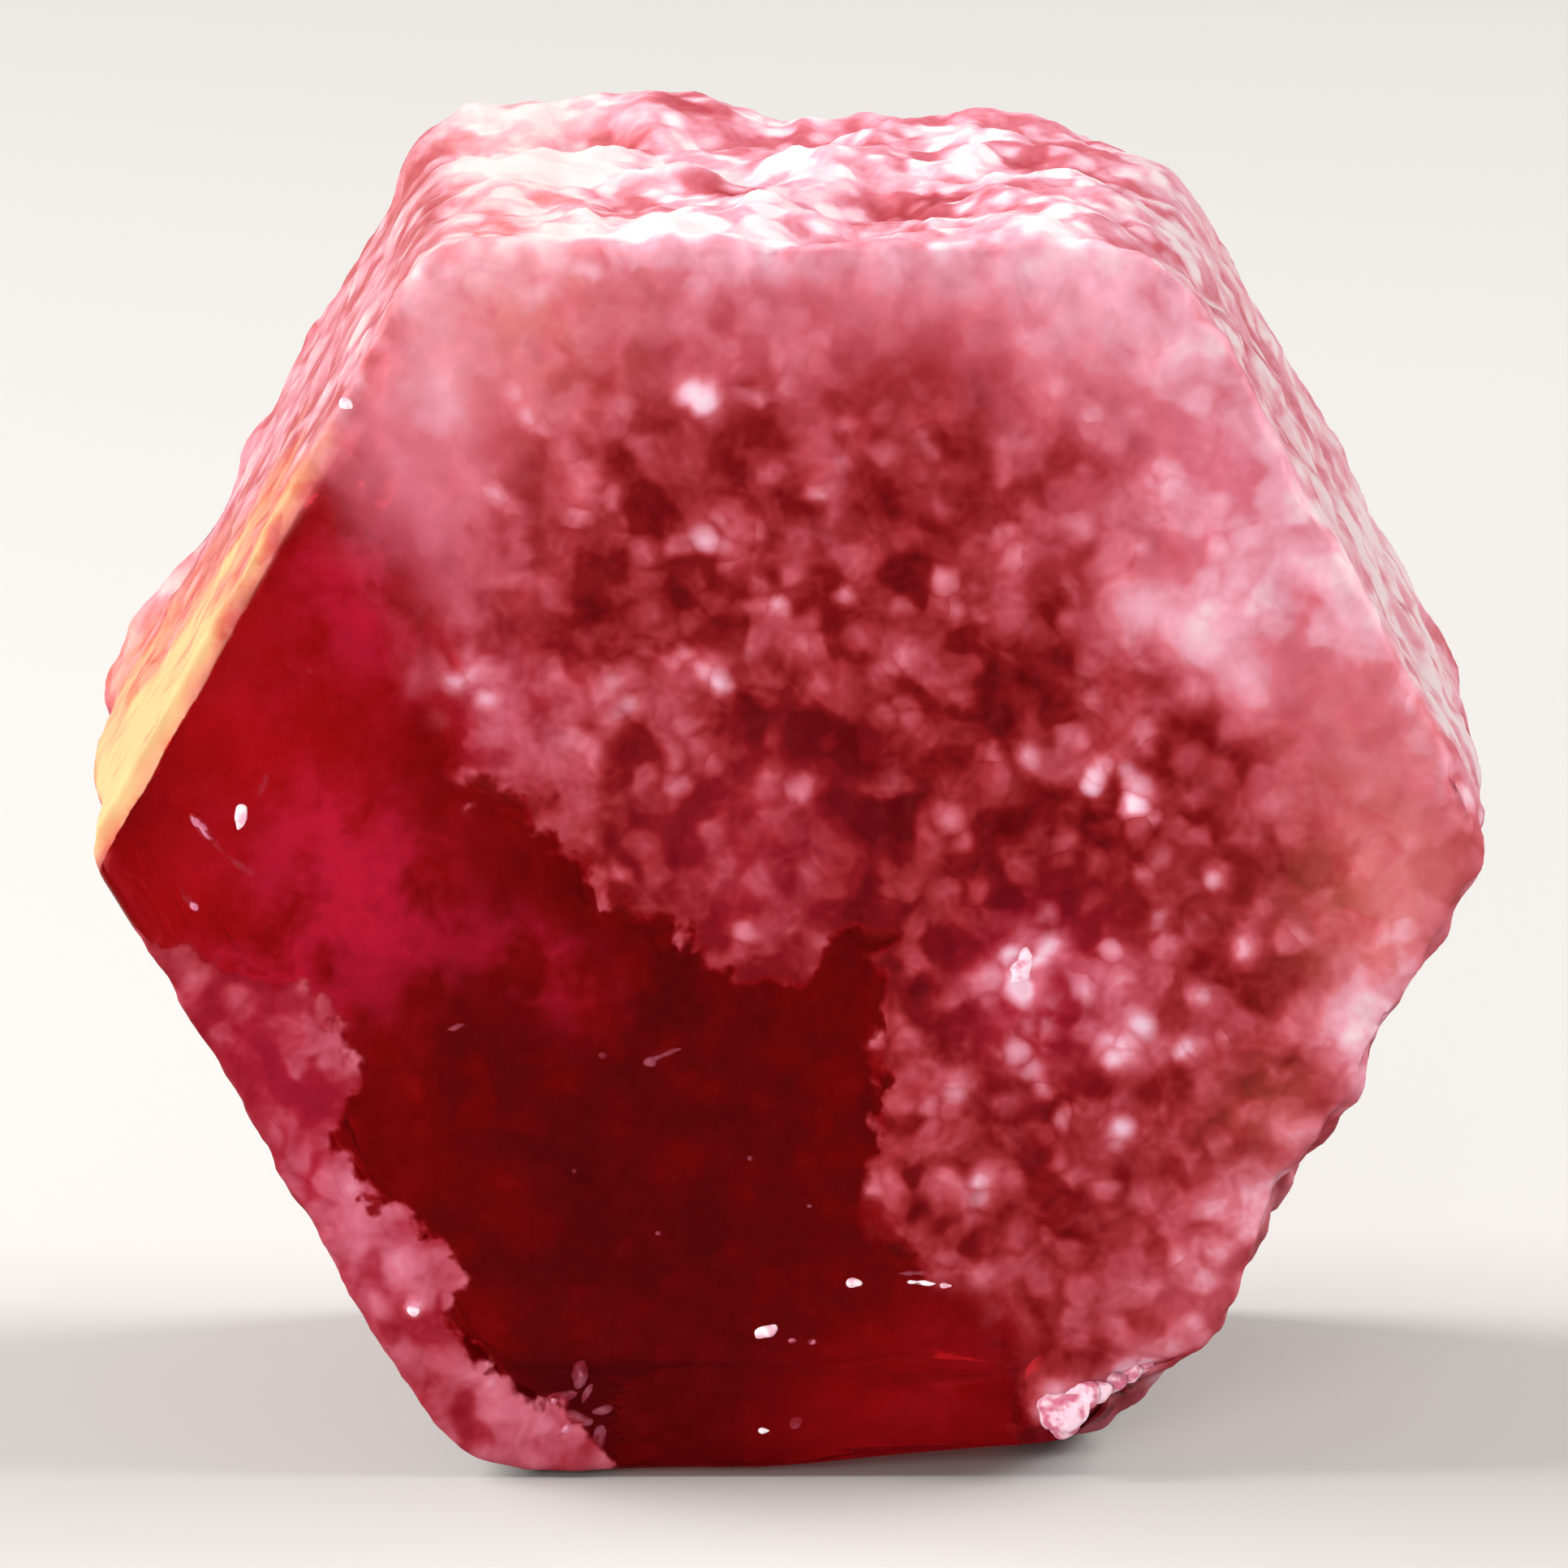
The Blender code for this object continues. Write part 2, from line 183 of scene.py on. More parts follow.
# Single pale granules of the basal face: x, z and radius in mm and how much paler they are.
GRANULES = (
    (1.66, 3.99, 0.10, 0.42), (1.64, 3.74, 0.22, 0.90), (1.74, 3.46, 0.17, 0.55),
    (2.43, 3.23, 0.22, 0.46), (2.73, 3.15, 0.08, 0.55), (2.86, 3.53, 0.09, 0.46),
    (2.34, 2.50, 0.13, 0.46), (3.18, 3.89, 0.12, 0.51), (1.75, 5.22, 0.13, 0.46),
    (2.09, 5.07, 0.12, 0.33), (2.49, 5.00, 0.12, 0.46), (2.31, 5.24, 0.11, 0.42),
    (1.17, 2.91, 0.16, 0.38), (1.57, 3.02, 0.18, 0.42), (1.29, 2.09, 0.11, 0.42),
    (2.66, 4.17, 0.22, 0.33), (2.96, 4.31, 0.10, 0.38), (-2.15, 5.76, 0.16, 0.42),
    (-1.40, 5.79, 0.16, 0.46), (-1.21, 5.63, 0.12, 0.33), (-0.44, 5.89, 0.20, 0.33),
    (-0.64, 7.82, 0.16, 0.38), (-0.61, 6.85, 0.17, 0.38), (-2.39, 7.79, 0.18, 0.15),
    (-2.21, 7.23, 0.17, 0.18), (-1.87, 7.76, 0.16, 0.19), (0.23, 7.18, 0.14, 0.33),
    (1.54, 7.50, 0.15, 0.33), (1.51, 6.27, 0.20, 0.33), (0.88, 7.10, 0.14, 0.24),
    (-1.48, 7.44, 0.14, 0.19), (-0.02, 8.17, 0.25, 0.15), (-3.19, 7.78, 0.07, 0.84),
    (-2.67, 1.24, 0.06, 0.55), (1.95, 0.54, 0.20, 0.51), (2.23, 0.66, 0.14, 0.38),
    (2.44, 0.72, 0.09, 0.46), (1.01, 3.58, 0.10, -0.50), (1.69, 2.36, 0.12, -0.35),
    (2.96, 2.61, 0.14, -0.30), (1.66, 3.58, 0.10, 0.30), (2.37, 3.10, 0.16, 0.30),
    (2.60, 3.16, 0.08, 0.30), (2.10, 5.05, 0.09, 0.28), (2.42, 4.98, 0.10, 0.30),
    (-2.38, 5.80, 0.10, 0.30), (-0.55, 5.90, 0.12, 0.20), (2.31, 3.90, 0.14, 0.28),
    (2.95, 4.10, 0.10, 0.28), (-0.68, 7.82, 0.12, 0.22), (1.13, 2.92, 0.09, 0.25),
    (1.00, 3.05, 0.07, 0.20), (3.19, 3.85, 0.09, 0.28), (0.85, 3.30, 0.08, 0.18),
    (1.30, 6.80, 0.12, 0.20), (0.30, 7.05, 0.10, 0.18),
)
# How clearly the crust's single beads show: x, z and radius in mm, and how much more they show there.
BEADY_BASE = 0.36
BEADY_PATCHES = (
    (2.0, 3.2, 1.3, 0.30), (2.2, 5.0, 0.8, 0.34), (-0.8, 5.8, 1.3, 0.16), (0.6, 7.3, 1.2, 0.10),
    (0.0, 4.2, 0.8, 0.10),
)
FACE_BEADY = {face: 0.40 for face in range(8)} | {TOP: 0.65}
# Haze over the window, deep red and crimson: x, z and radius in mm, how much deep red and how much crimson.
HAZE_PATCHES = (
    (-3.04, 6.51, 0.60, 0.30, 0.60), (-3.72, 5.34, 0.80, 0.55, 0.10), (-3.14, 4.56, 0.70, 0.25, 0.38),
    (-2.85, 3.90, 0.65, 0.05, 0.50), (-1.87, 3.80, 0.34, 0.20, 0.50), (-1.45, 3.50, 0.30, 0.12, 0.42),
    (-2.65, 5.83, 0.35, 0.20, 0.20), (1.15, 0.66, 0.70, 0.36, 0.10), (0.18, 0.27, 0.60, 0.25, 0.00),
    (-3.85, 3.50, 0.55, 0.35, 0.55), (-4.30, 4.30, 0.50, 0.50, 0.00),
)
# Mauve patches of the crust: x, z and radius in mm, and how mauve.
MAUVE_PATCHES = (
    (-3.77, 3.16, 0.80, 0.45), (-3.25, 2.20, 0.70, 0.38), (-2.80, 1.50, 0.70, 0.40),
    (-1.90, 0.45, 0.60, 0.40), (-3.00, 6.60, 0.60, 0.50), (-2.20, 5.50, 0.60, 0.30),
    (-0.30, 4.50, 0.80, 0.20), (3.30, 7.30, 0.80, 0.30), (1.75, 3.60, 0.60, 0.40),
)
FACE_MAUVE = {LOWER_LEFT: 0.45, BOTTOM: 0.3}
# The top: x, y and radius in mm, and how much paler; a pit with a pale rim, rosy hollows and white lumps.
TOP_PATCHES = (
    (-1.40, 1.20, 0.62, 0.50), (-1.38, 1.30, 0.40, -1.20), (-0.85, 1.90, 0.45, -0.30),
    (-1.68, 0.22, 0.50, 0.40), (-0.50, -0.25, 0.35, -0.35), (0.63, 0.80, 0.45, -0.35),
    (1.15, -0.70, 0.40, -0.32), (2.20, 0.20, 0.60, -0.22), (-1.47, -2.20, 0.30, 0.35),
    (-0.90, -2.20, 0.22, 0.35), (-0.20, -2.30, 0.25, 0.35), (-2.30, 0.00, 0.80, 0.15),
    (2.00, -1.30, 0.80, -0.22), (0.60, -2.00, 0.50, 0.12),
)
# Warm patches outside the upper left face's painted amber glow: x, z and radius in mm, and how warm.
WARM_PATCHES = (
    (-2.10, 8.75, 1.10, 0.16), (-4.80, 5.30, 0.70, 0.50), (4.30, 5.30, 0.90, 0.10),
    (4.20, 4.00, 0.80, 0.12), (3.40, 2.60, 0.60, 0.08),
)
RIGHT_WARMTH = 0.08  # how warm the upper right face is
# The amber of the upper left face: a painted glow, standing for light that shines through its thin edge.
GLOW_TOP = (6.0, 8.0)  # heights between which it fades, in mm, before lumps shift them
GLOW_BACK = (-2.0, 2.4)  # depths between which it fades, in the same way
STREAK = 0.38 * MM
STREAK_STRETCH = (1.0, 2.2, 0.6)
GLOW_MOTTLE = (0.85, 0.50)  # its middle strength, and how much the streaks add or take
# Where the crust fades into the window: x, z and radius in mm, and how softly.
SOFT_PATCHES = (
    (-2.94, 7.10, 1.10, 1.0), (-2.60, 5.75, 0.45, 0.6), (0.47, 1.83, 0.40, 0.2),
    (1.45, 1.14, 0.50, 0.5),
)
# Paleness of the back, seen through the window: paler behind its left, a painted light, and deep red behind
# its middle and its foot, a painted shade.
BACK_PALE = 0.72
BACK_PATCHES = (
    (-4.0, 5.0, 1.6, 0.35), (-0.6, 1.4, 1.7, -0.45), (-1.8, 3.2, 1.0, -0.20),
)


# ---- node graphs -----------------------------------------------------


class Number:
    """A number socket, on which Python's operators add Math nodes."""

    def __init__(self, graph, socket):
        self.graph = graph
        self.socket = socket

    def math(self, operation, *values):
        return self.graph.number("ShaderNodeMath", {"operation": operation}, dict(enumerate(values)))

    def __add__(self, other):
        return self.math("ADD", self, other)

    def __sub__(self, other):
        return self.math("SUBTRACT", self, other)

    def __rsub__(self, other):
        return self.math("SUBTRACT", other, self)

    def __mul__(self, other):
        return self.math("MULTIPLY", self, other)

    def __truediv__(self, other):
        return self.math("DIVIDE", self, other)

    def __rtruediv__(self, other):
        return self.math("DIVIDE", other, self)

    def between(self, low, high):
        """Nothing below low, one above high, and a smooth rise from one to the other."""
        settings = {"interpolation_type": "SMOOTHSTEP"}
        inputs = {"Value": self, "From Min": low, "From Max": high}
        return self.graph.number("ShaderNodeMapRange", settings, inputs)

    def held(self, low=0.0, high=1.0):
        return self.math("MAXIMUM", self.math("MINIMUM", self, high), low)


class Graph:
    """A shader or geometry node tree that is filled in by code."""

    def __init__(self, tree):
        self.tree = tree

    def node(self, kind, settings=None, inputs=None):
        node = self.tree.nodes.new(kind)
        for name, setting in (settings or {}).items():
            setattr(node, name, setting)
        for name, value in (inputs or {}).items():
            self.fill(node.inputs[name], value)
        return node

    def fill(self, socket, value):
        """Links a socket to another one, or gives it a value."""
        value = value.socket if isinstance(value, Number) else value
        if isinstance(value, bpy.types.NodeSocket):
            self.tree.links.new(value, socket)
        else:
            socket.default_value = value

    def output(self, kind, settings=None, inputs=None, output=0):
        return self.node(kind, settings, inputs).outputs[output]

    def number(self, kind, settings=None, inputs=None, output=0):
        return Number(self, self.output(kind, settings, inputs, output))

    def vector_math(self, operation, *values):
        return self.output("ShaderNodeVectorMath", {"operation": operation}, dict(enumerate(values)))

    def scaled(self, vector, factor):
        inputs = {"Vector": vector, "Scale": factor}
        return self.output("ShaderNodeVectorMath", {"operation": "SCALE"}, inputs)

    def noise(self, place, size, detail=2.0, roughness=0.5, output="Fac"):
        inputs = {"Vector": place, "Scale": 1 / size, "Detail": detail, "Roughness": roughness}
        return self.node("ShaderNodeTexNoise", None, inputs).outputs[output]

    def noise_number(self, place, size, detail=2.0, roughness=0.5):
        return Number(self, self.noise(place, size, detail, roughness))

    def mixed(self, factor, first, second):
        """Two colours mixed."""
        node = self.node("ShaderNodeMix", {"data_type": "RGBA"})
        for name, value in {"Factor": factor, "A": first, "B": second}.items():
            self.fill(next(s for s in node.inputs if s.name == name and s.enabled), value)
        return next(s for s in node.outputs if s.enabled)


# ---- the body --------------------------------------------------------


def hexagon_lattice():
    """The closed lattice: a unit hexagon's corners on the circle, and its ends at depth -0.5 and 0.5."""
    lattice = bmesh.new()
    quarter_turn = Matrix.Rotation(math.pi / 2, 4, "Z")
    bmesh.ops.create_cone(
        lattice, segments=6, radius1=1, radius2=1, depth=1, cap_ends=True, cap_tris=True, matrix=quarter_turn
    )
    cuts = LATTICE * FINENESS - 1
    bmesh.ops.subdivide_edges(lattice, edges=lattice.edges[:], cuts=cuts, use_grid_fill=True)
    bmesh.ops.triangulate(lattice, faces=[face for face in lattice.faces if len(face.verts) > 3])
    return lattice


def outline_point(turns):
    """The rounded outline at a place counted in sides from the right corner, as x and z."""
    corners = np.array([corner[:2] for corner in CORNERS])
    rounding = np.array([corner[2] for corner in CORNERS])
    side = np.floor(turns).astype(int) % 6
    along = turns - np.floor(turns)
    start, end = corners[side], corners[(side + 1) % 6]
    length = np.linalg.norm(end - start, axis=1)
    point = start + (end - start) * along[:, None]
    near_end = along > 0.5
    corner = np.where(near_end, (side + 1) % 6, side)
    gap = np.where(near_end, 1 - along, along) * length
    reach = rounding[corner]
    back = corners[(corner - 1) % 6] - corners[corner]
    ahead = corners[(corner + 1) % 6] - corners[corner]
    back *= (reach / np.linalg.norm(back, axis=1))[:, None]
    ahead *= (reach / np.linalg.norm(ahead, axis=1))[:, None]
    share = 0.5 + np.where(near_end, -gap, gap) / (2 * reach)
    bent = corners[corner] + back * ((1 - share) ** 2)[:, None] + ahead * (share**2)[:, None]
    return np.where((gap < reach)[:, None], bent, point)


def on_outline(lattice):
    """Lattice points laid on the real outline and thickness."""
    flat = np.array([vertex.co for vertex in lattice.verts])
    angle = np.arctan2(flat[:, 1], flat[:, 0]) % (2 * np.pi)
    side = np.floor(angle / (np.pi / 3) + 1e-6).astype(int) % 6
    middle = (side + 0.5) * np.pi / 3
    apothem = np.cos(np.pi / 6)
    ring = (flat[:, 0] * np.cos(middle) + flat[:, 1] * np.sin(middle)) / apothem
    across = -flat[:, 0] * np.sin(middle) + flat[:, 1] * np.cos(middle)
    along = across / np.maximum(ring, 1e-9) + 0.5
    rim = outline_point(side + np.clip(along, 0, 1))
    centre = np.array((0, CENTRE_HEIGHT))
    laid = centre + (rim - centre) * ring[:, None]
    return np.column_stack((laid[:, 0], -flat[:, 2] * THICKNESS, laid[:, 1]))


def face_distances(points):
    """How far each point lies inside each of the eight faces, one column for each face."""
    columns = []
    for number, (x, z, _) in enumerate(CORNERS):
        next_x, next_z, _ = CORNERS[(number + 1) % 6]
        edge = np.array((next_x - x, next_z - z))
        outward = np.array((edge[1], -edge[0])) / np.linalg.norm(edge)
        columns.append(-(points[:, [0, 2]] - (x, z)) @ outward)
    columns.append(points[:, 1] + THICKNESS / 2)
    columns.append(THICKNESS / 2 - points[:, 1])
    return np.maximum(np.column_stack(columns), 0)


def soft_normals(points, normals):
    """Normals that turn gradually round the edges of the two ends, so that little relief folds over there."""
    distances = face_distances(points)
    outward = normals.copy()
    for to_end, way in ((distances[:, FRONT], -1), (distances[:, BACK], 1)):
        outward[:, 1] += np.where(to_end > TOUCHING, way * np.exp(-to_end / NORMAL_TURN), 0)
    middle = points[:, [0, 2]] - (0, CENTRE_HEIGHT)
    across = middle / np.maximum(np.linalg.norm(middle, axis=1), TOUCHING)[:, None]
    on_end = distances[:, [FRONT, BACK]].min(axis=1) < TOUCHING
    near = np.where(on_end, np.exp(-distances[:, :FRONT].min(axis=1) / NORMAL_TURN), 0)
    outward[:, [0, 2]] += across * near[:, None]
    return outward / np.linalg.norm(outward, axis=1)[:, None]


def smooth_step(value, low, high):
    share = np.clip((value - low) / (high - low), 0, 1)
    return share * share * (3 - 2 * share)


def lumps(points, size, seed):
    """Smooth noise from about -1 to 1, with lumps of the given size."""
    shift = Vector((seed, 2.3 * seed, -1.7 * seed))
    return np.array([noise.fractal(Vector(point) / size + shift, 0.9, 2.1, 3) for point in points])


def outside_distance(points, outline):
    """Distance from an outline in the basal face, above zero outside it and below zero inside."""
    place = points[:, [0, 2]]
    nearest = np.full(len(points), np.inf)
    inside = np.zeros(len(points), dtype=bool)
    for (x, z), (next_x, next_z) in zip(outline, outline[1:] + outline[:1]):
        edge = np.array((next_x - x, next_z - z))
        offset = place - (x, z)
        share = np.clip(offset @ edge / (edge @ edge), 0, 1)
        nearest = np.minimum(nearest, np.linalg.norm(offset - share[:, None] * edge, axis=1))
        level = (z > place[:, 1]) != (next_z > place[:, 1])
        inside ^= level & ((offset[:, 0] * edge[1] < offset[:, 1] * edge[0]) == (edge[1] > 0))
    return np.where(inside, -nearest, nearest)


def terraces(points):
    """Broad growth steps that cross the broken end at a slant, each with a steep riser."""
    climb = (points[:, 0] + STEP_SLANT * points[:, 2]) / STEP_WIDTH + 0.35 * lumps(points, STEP_WIDTH, 5)
    whole = np.floor(climb)
    return (whole + smooth_step(climb - whole, 0.75, 1.0)) * STEP_RISE


def face_relief(points):
    """The relief of the eight faces at every point, one column for each face, outwards above zero."""
    undulation = lumps(points, SIDE_UNDULATION[0], 1) * SIDE_UNDULATION[1]
    grain = lumps(points, GRAIN[0], 2) * GRAIN[1]
    chips = lumps(points, CHIPS[0], 3) * CHIPS[1]
    crust = smooth_step(outside_distance(points, WINDOW), 0, CRUST_SLOPE)
    relief = np.zeros((len(points), 8))
    relief[:, UPPER_RIGHT] = undulation + 0.6 * grain
    relief[:, TOP] = lumps(points, TOP_LUMPS[0], 4) * TOP_LUMPS[1] + grain
    relief[:, UPPER_LEFT] = 0.5 * undulation
    relief[:, LOWER_LEFT] = undulation
    relief[:, LOWER_RIGHT] = chips
    relief[:, FRONT] = crust * (CRUST_RISE + grain)
    relief[:, BACK] = lumps(points, BACK_LUMPS[0], 6) * BACK_LUMPS[1] + grain - terraces(points)
    return relief


def wear_radius(points, distances):
    """Radius of the worn edges near each point."""
    patches = 0.5 + 0.5 * lumps(points, WEAR_PATCH, 7)
    broken = np.exp(-np.minimum(distances[:, LOWER_RIGHT], distances[:, BACK]) / WEAR_REACH)
    keen = np.exp(-distances[:, UPPER_LEFT] / WEAR_REACH) * (1 - smooth_step(points[:, 2], *KEEN_TOP))
    radius = EDGE_WEAR * (0.6 + patches) + CHIPPED_WEAR * broken * patches**2
    return radius + (KEEN_WEAR - radius) * keen


def underside_lift(points):
    """How far the underside is off the ground: nothing on the flat, more round it and at the front bevel."""
    left, right = CORNERS[4][0], CORNERS[5][0]
    columns = [left + (right - left) * step / LATTICE for step in REST_COLUMNS]
    rows = [THICKNESS * (step / LATTICE - 0.5) for step in REST_ROWS]
    across = (2 * points[:, 0] - sum(columns)) / (columns[1] - columns[0])
    along = (2 * points[:, 1] - sum(rows)) / (rows[1] - rows[0])
    beyond_side = np.abs(across) - 1 + REST_BOW * (1 - along**2)
    beyond_end = np.abs(along) - 1 + REST_BOW * (1 - across**2)
    lift = UNDERCUT * np.clip(np.maximum(beyond_side, beyond_end), 0, None)
    to_front = np.clip((rows[0] - points[:, 1]) / (rows[0] + THICKNESS / 2), 0, 1)
    return np.maximum(lift, BEVEL_RISE * to_front * smooth_step(points[:, 0], *BEVEL_SPAN))


def shaped(points, normals):
    """Points moved along their normals by wear and relief, with the features and the underside added."""
    distances = face_distances(points)
    weight = np.exp(-distances / FACE_BLEND)
    height = (weight * face_relief(points)).sum(axis=1) / weight.sum(axis=1)
    radius = wear_radius(points, distances)
    to_edge = np.sort(distances, axis=1)[:, 1]
    height -= EDGE_PULL * radius * np.clip(1 - to_edge / radius, 0, 1) ** 2
    for x, y, z, reach, rise in FEATURES:
        spread = np.linalg.norm(points - (x, y, z), axis=1) / reach
        height += rise * np.clip(1 - spread**2, 0, 1) ** 2
    moved = points + normals * height[:, None]
    lift = underside_lift(points)
    rounding = np.minimum(CREASE_ROUNDING, lift)
    overlap = np.clip(rounding - np.abs(moved[:, 2] - lift), 0, None)
    moved[:, 2] = np.maximum(moved[:, 2], lift) + overlap**2 / (4 * np.maximum(rounding, TOUCHING))
    moved[(points[:, 2] < TOUCHING) & (lift < TOUCHING), 2] = 0
    return moved


def blended(distances, front, faces):
    """One value for each point from a value for each face, where front gives the basal face's own."""
    reach = np.array([FACE_REACH.get(face, USUAL_REACH) for face in range(8)]) * MM
    advance = np.array([FACE_ADVANCE.get(face, 0) for face in range(8)]) * MM
    weight = np.exp((advance - distances) / reach)
    values = np.zeros_like(weight)
    for face, value in faces.items():
        values[:, face] = value
    values[:, FRONT] = front
    return (weight * values).sum(axis=1) / weight.sum(axis=1)


def from_patches(points, base, patches, column=3, plane=(0, 2)):
    """A base value with soft patches added in a plane; the column is what each patch adds."""
    value = np.full(len(points), base)
    for patch in patches:
        spread = np.linalg.norm(points[:, plane] / MM - patch[:2], axis=1) / patch[2]
        value += patch[column] * np.exp(-(spread**2))
    return value


def amber_glow(points):
    """Painted glow of the upper left face: amber for light shining through its thin edge, in streaks that are
    strongest by its front edge low down.
    """
    climb = points[:, 2] / MM + 0.35 * (points[:, 1] / MM + 2.5) + 0.9 * lumps(points, 0.9 * MM, 12)
    low = 1 - smooth_step(climb, *GLOW_TOP)
    spread = points[:, 1] / MM + 0.35 * (points[:, 2] / MM - 4.6) + 2.0 * lumps(points, 1.5 * MM, 8)
    front = 1 - smooth_step(spread, *GLOW_BACK)
    mottled = GLOW_MOTTLE[0] + GLOW_MOTTLE[1] * lumps(points * STREAK_STRETCH, STREAK, 11)
    return np.clip(0.12 + 0.88 * low * (0.30 + 0.70 * front) * mottled, 0, 1)


def store(mesh, name, values):
    mesh.attributes.new(name, "FLOAT", "POINT").data.foreach_set("value", values.astype(np.float32))


def body_mesh():
    lattice = hexagon_lattice()
    points = on_outline(lattice)
    for vertex, point in zip(lattice.verts, points):
        vertex.co = point
    lattice.normal_update()
    normals = soft_normals(points, np.array([vertex.normal for vertex in lattice.verts]))
    for vertex, point in zip(lattice.verts, shaped(points, normals)):
        vertex.co = point
    mesh = bpy.data.meshes.new("crystal_body")
    lattice.to_mesh(mesh)
    lattice.free()
    store_looks(mesh, points)
    mesh.shade_smooth()
    return mesh


def store_looks(mesh, points):
    """Keeps on the mesh what each point's face and patches say of its crust."""
    distances = face_distances(points)
    crust = np.clip(outside_distance(points / MM, CLEAR), -1.5, 1.5)
    granule = from_patches(points, 0.0, GRANULES)
    pale = from_patches(points, PALE_BASE, PATCHES) + granule
    calm = np.clip(from_patches(points, CALM_BASE, PATCHES, 4), 0, 0.9)
    ruby = from_patches(points, 0.0, HAZE_PATCHES, 3)
    crimson = from_patches(points, 0.02, HAZE_PATCHES, 4)
    mauve = from_patches(points, 0.0, MAUVE_PATCHES)
    back = from_patches(points, BACK_PALE, BACK_PATCHES)
    top = from_patches(points, FACE_PALE[TOP], TOP_PATCHES, plane=(0, 1))
    top += TOP_RIDGE_PALENESS * lumps(points, TOP_LUMPS[0], 4)
    clouds = FACE_CLOUDS[1] * lumps(points, FACE_CLOUDS[0], 9)
    sides = {face: value + clouds for face, value in FACE_PALE.items()}
    bare = FACE_CRUST[LOWER_LEFT] + BARE_PATCHES[1] * lumps(points, BARE_PATCHES[0], 10)
    store(mesh, "crust", blended(distances, crust, {**FACE_CRUST, BOTTOM: crust, LOWER_LEFT: bare}))
    store(mesh, "pale", blended(distances, pale, {**sides, TOP: top, BACK: back + clouds}))
    store(mesh, "calm", blended(distances, calm, FACE_CALM))
    store(mesh, "leak", blended(distances, FRONT_LEAK, FACE_LEAK))
    store(mesh, "granule", blended(distances, granule, {}))
    store(mesh, "beady", blended(distances, from_patches(points, BEADY_BASE, BEADY_PATCHES), FACE_BEADY))
    store(mesh, "soft", blended(distances, from_patches(points, 0.0, SOFT_PATCHES), {}))
    store(mesh, "ruby", blended(distances, ruby, {LOWER_LEFT: ruby}))
    store(mesh, "crimson", blended(distances, crimson, {}))
    store(mesh, "mauve", blended(distances, mauve, FACE_MAUVE))
    # amber: the painted glow of the upper left face, with warm patches on the other faces
    warm = from_patches(points, 0.0, WARM_PATCHES)
    warm_faces = {UPPER_LEFT: amber_glow(points), UPPER_RIGHT: RIGHT_WARMTH, TOP: warm, BACK: warm}
    store(mesh, "amber", blended(distances, warm, warm_faces))


# ---- relief by Geometry Nodes ----------------------------------------

GRAIN_HEIGHT = 0.065 * MM
GRAIN_SIZES = (0.42 * MM, 0.24 * MM)
GRAIN_WARP = 0.11 * MM
WARP_SIZE = 0.35 * MM
DOME_RANGE = (0.05, 0.80)  # where a grain's dome starts and stops falling, as a share of its cell
GROUND_FADE = 0.3 * MM  # height over which the grains rise from nothing
CLOUD_SIZE = 0.75 * MM
GRAIN_SEED = (0.0131, 0.0072, 0.0243)


def relief_tree():
    """Raises the crust's grains, and keeps their place, their height and the clouds for the material."""
    tree = bpy.data.node_groups.new("crust_relief", "GeometryNodeTree")
    for name, kind, way in (
        ("Geometry", "NodeSocketGeometry", "INPUT"),
        ("Grain Height", "NodeSocketFloat", "INPUT"),
        ("Coarse Grain", "NodeSocketFloat", "INPUT"),
        ("Fine Grain", "NodeSocketFloat", "INPUT"),
        ("Seed", "NodeSocketVector", "INPUT"),
        ("Material", "NodeSocketMaterial", "INPUT"),
        ("Geometry", "NodeSocketGeometry", "OUTPUT"),
    ):
        tree.interface.new_socket(name, in_out=way, socket_type=kind)
    graph = Graph(tree)
    given = graph.node("NodeGroupInput").outputs
    place = graph.output("GeometryNodeInputPosition")
    seeded = graph.vector_math("ADD", place, given["Seed"])
    sway = graph.noise(seeded, WARP_SIZE, output="Color")
    sway = graph.scaled(graph.vector_math("SUBTRACT", sway, (0.5, 0.5, 0.5)), 2 * GRAIN_WARP)
    swayed = graph.vector_math("ADD", seeded, sway)
    domes, tones = [], []
    for name in ("Coarse Grain", "Fine Grain"):
        scale = 1 / Number(graph, given[name])
        cells = graph.node("ShaderNodeTexVoronoi", None, {"Vector": swayed, "Scale": scale}).outputs
        tones.append(graph.number("ShaderNodeSeparateXYZ", None, {"Vector": cells["Color"]}))
        domes.append(1 - Number(graph, cells["Distance"]).between(*DOME_RANGE))
    grains = domes[0] * tones[0].between(0.25, 0.80) * 0.6 + domes[1] * (tones[1] * 0.6 + 0.2) * 0.4
    cloud = graph.noise_number(seeded, CLOUD_SIZE, detail=4.0, roughness=0.62)
    crust = graph.number("GeometryNodeInputNamedAttribute", {"data_type": "FLOAT"}, {"Name": "crust"})
    height = graph.number("ShaderNodeSeparateXYZ", None, {"Vector": place}, output="Z")
    above_ground = height.between(0, GROUND_FADE)
    granule = graph.number("GeometryNodeInputNamedAttribute", {"data_type": "FLOAT"}, {"Name": "granule"})
    rise = grains * 0.8 + cloud.between(0.35, 0.65) * 0.5 - 0.45 + granule.held(-0.5, 0.8)
    rise = rise * crust.between(-0.05, 0.20) * above_ground
    rise = rise * Number(graph, given["Grain Height"])
    offset = graph.scaled(graph.output("GeometryNodeInputNormal"), rise)
    geometry = given["Geometry"]
    kept = {"place": swayed, "grain": grains, "cloud": cloud}
    for name, value in kept.items():
        kind = "FLOAT_VECTOR" if name == "place" else "FLOAT"
        inputs = {"Geometry": geometry, "Name": name, "Value": value}
        geometry = graph.output("GeometryNodeStoreNamedAttribute", {"data_type": kind}, inputs)
    moved = graph.output("GeometryNodeSetPosition", None, {"Geometry": geometry, "Offset": offset})
    real = graph.output("GeometryNodeRealizeInstances", None, {"Geometry": moved})
    inputs = {"Geometry": real, "Material": given["Material"]}
    graph.node("NodeGroupOutput", None, {"Geometry": graph.output("GeometryNodeSetMaterial", None, inputs)})
    return tree


